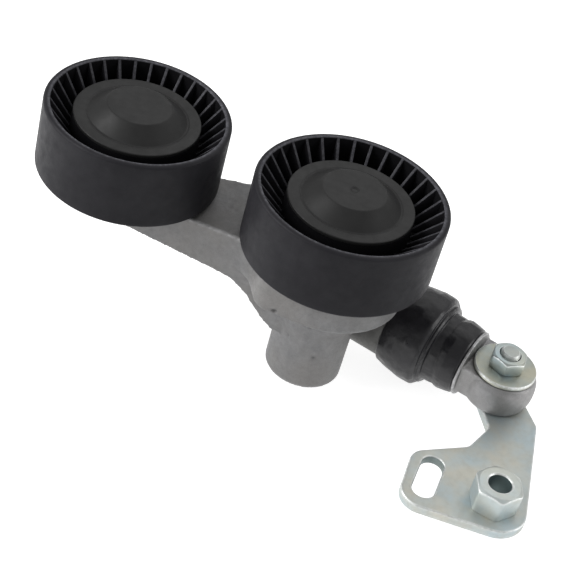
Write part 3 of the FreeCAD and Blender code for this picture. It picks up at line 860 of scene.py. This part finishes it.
class Nodes:
    """A material's node tree with short helpers; lengths are millimetres."""

    def __init__(self, name, roughness, metallic=0.0, specular=0.5):
        self.material = bpy.data.materials.new(name)
        self.material.use_nodes = True
        self.tree = self.material.node_tree
        self.shader = self.tree.nodes["Principled BSDF"]
        self.shader.inputs["Roughness"].default_value = roughness
        self.shader.inputs["Metallic"].default_value = metallic
        self.shader.inputs["Specular IOR Level"].default_value = specular
        self.place = self.tree.nodes.new("ShaderNodeTexCoord").outputs["Object"]
        self.bump = None

    def noise(self, size, detail=3.0, rough=0.55, stretch=None):
        """Noise whose features are about this many millimetres across."""
        node = self.tree.nodes.new("ShaderNodeTexNoise")
        node.inputs["Scale"].default_value = 1 / (size * MM)
        node.inputs["Detail"].default_value = detail
        node.inputs["Roughness"].default_value = rough
        source = self.place
        if stretch:
            mapping = self.tree.nodes.new("ShaderNodeMapping")
            mapping.inputs["Scale"].default_value = stretch
            self.tree.links.new(source, mapping.inputs["Vector"])
            source = mapping.outputs["Vector"]
        self.tree.links.new(source, node.inputs["Vector"])
        return node.outputs["Fac"]

    def ramp(self, factor, stops):
        """Colour between two (position, colour) stops."""
        node = self.tree.nodes.new("ShaderNodeValToRGB")
        for element, (position, colour) in zip(node.color_ramp.elements, stops):
            element.position = position
            element.color = (*colour, 1.0)
        self.tree.links.new(factor, node.inputs["Fac"])
        return node.outputs["Color"]

    def mix(self, factor, first, second):
        """The first colour, going over to the second, a fixed one, with the factor."""
        node = self.tree.nodes.new("ShaderNodeMix")
        node.data_type = "RGBA"
        first_socket, second_socket = [s for s in node.inputs if s.type == "RGBA"]
        self.tree.links.new(first, first_socket)
        second_socket.default_value = (*second, 1.0)
        self.tree.links.new(factor, node.inputs["Factor"])
        return next(s for s in node.outputs if s.type == "RGBA")

    def span(self, value, from_low, from_high, to_low, to_high):
        """The value moved from one range to another and kept inside it."""
        node = self.tree.nodes.new("ShaderNodeMapRange")
        for key, number in (("From Min", from_low), ("From Max", from_high), ("To Min", to_low),
                            ("To Max", to_high)):
            node.inputs[key].default_value = number
        self.tree.links.new(value, node.inputs["Value"])
        return node.outputs["Result"]

    def stored(self, name):
        """The mesh's own number of this name; 0 where a mesh has none."""
        node = self.tree.nodes.new("ShaderNodeAttribute")
        node.attribute_name = name
        return node.outputs["Fac"]

    def product(self, first, second):
        """Two values multiplied."""
        node = self.tree.nodes.new("ShaderNodeMath")
        node.operation = "MULTIPLY"
        self.tree.links.new(first, node.inputs[0])
        self.tree.links.new(second, node.inputs[1])
        return node.outputs["Value"]

    def raise_by(self, height, depth, strength):
        """Adds a bump layer whose full height is so many millimetres."""
        node = self.tree.nodes.new("ShaderNodeBump")
        node.inputs["Strength"].default_value = strength
        node.inputs["Distance"].default_value = depth * MM
        self.tree.links.new(height, node.inputs["Height"])
        if self.bump:
            self.tree.links.new(self.bump, node.inputs["Normal"])
        self.bump = node.outputs["Normal"]

    def finish(self, colour, roughness=None):
        """Joins colour, roughness and bump to the shader."""
        self.tree.links.new(colour, self.shader.inputs["Base Color"])
        if roughness:
            self.tree.links.new(roughness, self.shader.inputs["Roughness"])
        if self.bump:
            self.tree.links.new(self.bump, self.shader.inputs["Normal"])
        return self.material


def moulded_plastic(name, dark, light, roughness, edge_light=None, specular=0.12):
    """Glass-filled moulding: clouded black with pale fibre specks, nearly black in its recesses from painted
    shade;
    with edge_light, its edges are painted bright as wear and painted highlight.
    """
    n = Nodes(name, roughness, specular=specular)
    colour = n.ramp(n.noise(9.0, 4.0), [(0.35, dark), (0.68, light)])
    speck = n.noise(0.25, 2.0)
    colour = n.mix(n.span(speck, 0.62, 0.8, 0.0, 0.35), colour, tuple(c * 2.2 for c in light))
    if edge_light:
        patchy_wear_and_light = n.span(n.noise(1.3, 4.0, 0.65), 0.42, 0.68, 0.35, 1.0)
        colour = n.mix(n.product(n.stored("wear_and_highlight"), patchy_wear_and_light), colour, edge_light)
    colour = n.mix(n.span(n.stored("recess_shade"), 0.0, 1.0, 0.0, 0.85), colour, tuple(c * 0.2 for c in dark))
    n.raise_by(n.noise(0.35, 3.0, 0.6), 0.03, 0.5)
    n.raise_by(n.noise(12.0, 2.0), 0.25, 0.25)
    rough = n.span(n.noise(3.0, 5.0), 0.3, 0.7, roughness - 0.06, roughness + 0.08)
    return n.finish(colour, rough)


def rubber(name, dark, light, roughness):
    """Moulded rubber: clouded black, softly uneven, with pale dust."""
    n = Nodes(name, roughness, specular=0.45)
    colour = n.ramp(n.noise(6.0, 5.0, 0.6), [(0.35, dark), (0.7, light)])
    dust = n.noise(0.6, 4.0, 0.7)
    colour = n.mix(n.span(dust, 0.6, 0.85, 0.0, 0.4), colour, tuple(c * 2.2 for c in light))
    n.raise_by(n.noise(0.5, 4.0, 0.6), 0.035, 0.6)
    n.raise_by(n.noise(5.0, 3.0), 0.5, 0.5)
    rough = n.span(n.noise(4.0, 4.0), 0.3, 0.7, roughness - 0.09, roughness + 0.1)
    return n.finish(colour, rough)


def cast_metal(name, dark, light, tint, roughness, metallic):
    """Shot-blasted casting: mottled greys, fine pits, brighter edges painted as wear and highlight, dents
    darkened with painted shade.
    """
    n = Nodes(name, roughness, metallic)
    colour = n.ramp(n.noise(5.0, 6.0, 0.62), [(0.32, dark), (0.68, light)])
    colour = n.mix(n.span(n.noise(26.0, 3.0), 0.4, 0.65, 0.0, 0.55), colour, tint)
    grain = n.noise(0.45, 4.0, 0.7)
    colour = n.mix(n.span(grain, 0.56, 0.78, 0.0, 0.4), colour, tuple(c * 1.35 for c in light))
    colour = n.mix(n.span(grain, 0.44, 0.26, 0.0, 0.45), colour, tuple(c * 0.6 for c in dark))
    patchy_wear_and_light = n.span(n.noise(2.0, 4.0, 0.6), 0.35, 0.62, 0.35, 1.0)
    colour = n.mix(n.product(n.stored("wear_and_highlight"), patchy_wear_and_light), colour, tuple(min(c * 2.1, 1.0) for c in light))
    colour = n.mix(n.span(n.stored("recess_shade"), 0.0, 1.0, 0.0, 0.85), colour, tuple(c * 0.25 for c in dark))
    n.raise_by(grain, 0.06, 0.8)
    n.raise_by(n.noise(1.8, 3.0), 0.1, 0.5)
    rough = n.span(n.noise(1.5, 4.0), 0.3, 0.7, roughness - 0.08, roughness + 0.1)
    return n.finish(colour, rough)


def plated(name, cool, warm, roughness, metallic=0.8):
    """Zinc plating with the faint colour play of its clear passivation, painted shade inside its bores and
    recesses, and edges painted bright as wear and painted highlight.
    """
    n = Nodes(name, roughness, metallic)
    colour = n.ramp(n.noise(13.0, 3.0, 0.5), [(0.36, cool), (0.64, warm)])
    cloud = n.noise(2.4, 5.0, 0.6)
    colour = n.mix(n.span(cloud, 0.45, 0.75, 0.0, 0.35), colour, tuple(c * 0.86 for c in warm))
    patchy_wear_and_light = n.span(n.noise(1.6, 4.0, 0.65), 0.35, 0.62, 0.35, 1.0)
    colour = n.mix(n.product(n.stored("wear_and_highlight"), patchy_wear_and_light), colour, (0.86, 0.88, 0.87))
    colour = n.mix(n.span(n.stored("recess_shade"), 0.0, 1.0, 0.0, 0.9), colour, (0.08, 0.125, 0.13))
    n.raise_by(n.noise(0.5, 3.0, 0.6), 0.012, 0.7)
    n.raise_by(n.noise(4.0, 2.0), 0.05, 0.5)
    rough = n.span(cloud, 0.3, 0.7, roughness - 0.06, roughness + 0.1)
    return n.finish(colour, rough)


def turned_metal(name, colour_low, colour_high, roughness):
    """Machined or ground steel with fine turning marks around Z."""
    n = Nodes(name, roughness, 1.0)
    marks = n.noise(1.2, 4.0, 0.6, stretch=(1.0, 1.0, 14.0))
    colour = n.ramp(marks, [(0.35, colour_low), (0.65, colour_high)])
    n.raise_by(marks, 0.012, 0.6)
    rough = n.span(n.noise(2.0, 4.0), 0.3, 0.7, roughness - 0.05, roughness + 0.08)
    return n.finish(colour, rough)


def make_materials():
    """Looks by material slot; one with a piece's name is that piece's own version of its slot."""
    return {
        "eye_nut_visual": plated("eye_nut_look", (0.42, 0.5, 0.52), (0.5, 0.52, 0.46), 0.33, 0.85),
        "eye_stud_visual": plated("eye_stud_look", (0.43, 0.49, 0.49), (0.52, 0.53, 0.49), 0.45, 0.7),
        # The washer's plating is darker than the other hardware's: painted shade that offsets the light on
        # its upward face, besides a yellower tint.
        "eye_washer_visual": plated("eye_washer_look", (0.39, 0.45, 0.45), (0.48, 0.47, 0.38), 0.4, 0.7),
        "wheel_plastic": moulded_plastic("wheel_plastic_look", (0.0175, 0.017, 0.02), (0.024, 0.0235, 0.027),
                                         0.5, (0.12, 0.12, 0.135)),
        "cap_plastic": moulded_plastic("cap_plastic_look", (0.0145, 0.0145, 0.0145),
                                       (0.0185, 0.0185, 0.0185), 0.43, specular=0.26),
        "cage_plastic": moulded_plastic("cage_plastic_look", (0.42, 0.37, 0.26), (0.55, 0.5, 0.38), 0.45),
        "seal_rubber": rubber("seal_rubber_look", (0.014, 0.014, 0.015), (0.028, 0.028, 0.03), 0.55),
        "boot_rubber": rubber("boot_rubber_look", (0.006, 0.0058, 0.0078), (0.011, 0.0105, 0.0138), 0.36),
        "bush_rubber": rubber("bush_rubber_look", (0.014, 0.014, 0.014), (0.026, 0.026, 0.026), 0.6),
        "arm_cast": cast_metal("arm_cast_look", (0.175, 0.175, 0.178), (0.23, 0.23, 0.232),
                               (0.218, 0.208, 0.197), 0.55, 0.5),
        "rod_end_cast": cast_metal("rod_end_cast_look", (0.25, 0.25, 0.254), (0.345, 0.345, 0.352),
                                   (0.3, 0.292, 0.285), 0.48, 0.7),
        "housing_metal": cast_metal("housing_metal_look", (0.1, 0.1, 0.096), (0.15, 0.15, 0.144),
                                    (0.12, 0.118, 0.11), 0.5, 0.5),
        "zinc_plate": plated("zinc_plate_look", (0.46, 0.535, 0.555), (0.545, 0.54, 0.48), 0.46, 0.65),
        "zinc_hardware": plated("zinc_hardware_look", (0.52, 0.6, 0.62), (0.56, 0.58, 0.53), 0.4, 0.6),
        "bolt_steel": plated("bolt_steel_look", (0.42, 0.44, 0.45), (0.52, 0.52, 0.48), 0.38),
        "bearing_steel": turned_metal("bearing_steel_look", (0.55, 0.55, 0.57), (0.68, 0.68, 0.7), 0.22),
        "machined_steel": turned_metal("machined_steel_look", (0.4, 0.4, 0.41), (0.55, 0.55, 0.56), 0.34),
        "bush_bronze": turned_metal("bush_bronze_look", (0.42, 0.28, 0.12), (0.56, 0.39, 0.18), 0.4),
        "spring_steel": turned_metal("spring_steel_look", (0.16, 0.16, 0.17), (0.24, 0.24, 0.26), 0.45),
    }


def paint(looks):
    """Every CAD node and every new piece takes the look of its material slot."""
    slots = {s["node"]: s["material_slot"] for s in frame["record"]["subparts"]}
    for name, node in frame["nodes"].items():
        for i in range(len(node.material_slots)):
            node.material_slots[i].material = looks[slots[name]]
    for piece in bpy.context.scene.objects:
        if "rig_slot" in piece:
            piece.data.materials.clear()
            piece.data.materials.append(looks.get(piece.name, looks[piece["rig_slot"]]))


# Stage

FLOOR_GLOW = 0.86
FLOOR_GAP = 0.5 * MM       # the floor below the object's lowest point
SKY = 0.42
LIGHT_AIM = (0, 0, 0.04)


def stage_floor():
    """Pale floor, faintly luminous so that it stays near white under the object."""
    level = cad_bounds[0][2] - FLOOR_GAP
    size, steps = 3.0, 40
    n = Nodes("floor_look", 0.9, specular=0.1)
    colour = n.ramp(n.noise(90.0, 3.0), [(0.3, (0.62, 0.62, 0.62)), (0.7, (0.64, 0.64, 0.64))])
    n.raise_by(n.noise(3.0, 3.0), 0.1, 0.1)
    n.shader.inputs["Emission Color"].default_value = (1, 1, 1, 1)
    n.shader.inputs["Emission Strength"].default_value = FLOOR_GLOW
    material = n.finish(colour)
    vertices, faces = [], []
    for i in range(steps + 1):
        for j in range(steps + 1):
            vertices.append(((i / steps - 0.5) * 2 * size, (j / steps - 0.5) * 2 * size, level))
    for i in range(steps):
        for j in range(steps):
            a = i * (steps + 1) + j
            faces.append((a, a + steps + 1, a + steps + 2, a + 1))
    floor = new_piece("floor", vertices, faces)
    floor.data.materials.append(material)
    floor.visible_diffuse = False


def area_light(name, place, size, power):
    """White soft light, turned towards the object."""
    data = bpy.data.lights.new(name, "AREA")
    data.shape = "RECTANGLE"
    data.size, data.size_y = size
    data.energy = power
    light = bpy.data.objects.new(name, data)
    light.location = place
    light.rotation_euler = (Vector(LIGHT_AIM) - Vector(place)).to_track_quat("-Z", "Y").to_euler()
    bpy.context.scene.collection.objects.link(light)


def lights():
    """Pale surroundings and three soft lights."""
    world = bpy.data.worlds.new("studio")
    world.use_nodes = True
    world.node_tree.nodes["Background"].inputs["Color"].default_value = (1, 1, 1, 1)
    world.node_tree.nodes["Background"].inputs["Strength"].default_value = SKY
    bpy.context.scene.world = world
    area_light("key_light", (-0.75, -0.35, 0.5), (0.6, 0.6), 7.5)
    area_light("top_light", (0.1, 0.6, 0.8), (1.2, 0.9), 2.2)
    area_light("side_light", (0.8, 0.1, 0.3), (0.3, 0.6), 2.0)


CAMERA_PLACE = Vector((64.97, -487.78, 436.31)) * MM
CAMERA_RIGHT = Vector((0.9205, 0.3263, 0.2151))
CAMERA_UP = Vector((-0.37097, 0.55635, 0.74355))
LENS = 102.89
SENSOR = 36


def camera():
    """Camera at the photograph's viewing angle."""
    data = bpy.data.cameras.new("camera")
    data.sensor_fit = "HORIZONTAL"
    data.sensor_width = SENSOR
    data.lens = LENS
    data.clip_start, data.clip_end = 0.01, 20
    piece = bpy.data.objects.new("camera", data)
    right = CAMERA_RIGHT.normalized()
    up = (CAMERA_UP - right * CAMERA_UP.dot(right)).normalized()
    back = right.cross(up)
    piece.matrix_world = Matrix.Translation(CAMERA_PLACE) @ Matrix((right, up, back)).transposed().to_4x4()
    bpy.context.scene.collection.objects.link(piece)
    bpy.context.scene.camera = piece


camera()
lights()
for prefix, has_dimple in (("pulley_1", False), ("pulley_2", True)):
    wheel(prefix)
    dust_cap(prefix, has_dimple)
cast_skin("arm_casting", "arm", "arm_cast", voxel=0.68, passes=5, swell=0.05, dents=ARM_MARKS,
          machined=(ARM_TOP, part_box("arm_casting")[0].z / MM + BOSS_EDGE))
cast_skin("strut_housing", "strut_housing", "housing_metal", voxel=0.7, passes=6, swell=0.04)
cast_skin("rod_end", "rod", "rod_end_cast", voxel=0.35, passes=6, swell=0.05, sharpness=0.09)
boot()
main_spring()
eye_nut()
hex_standoff()
eye_washer()
eye_stud()
bracket_plate()
paint(make_materials())
stage_floor()
bpy.context.scene.view_settings.view_transform = "Standard"
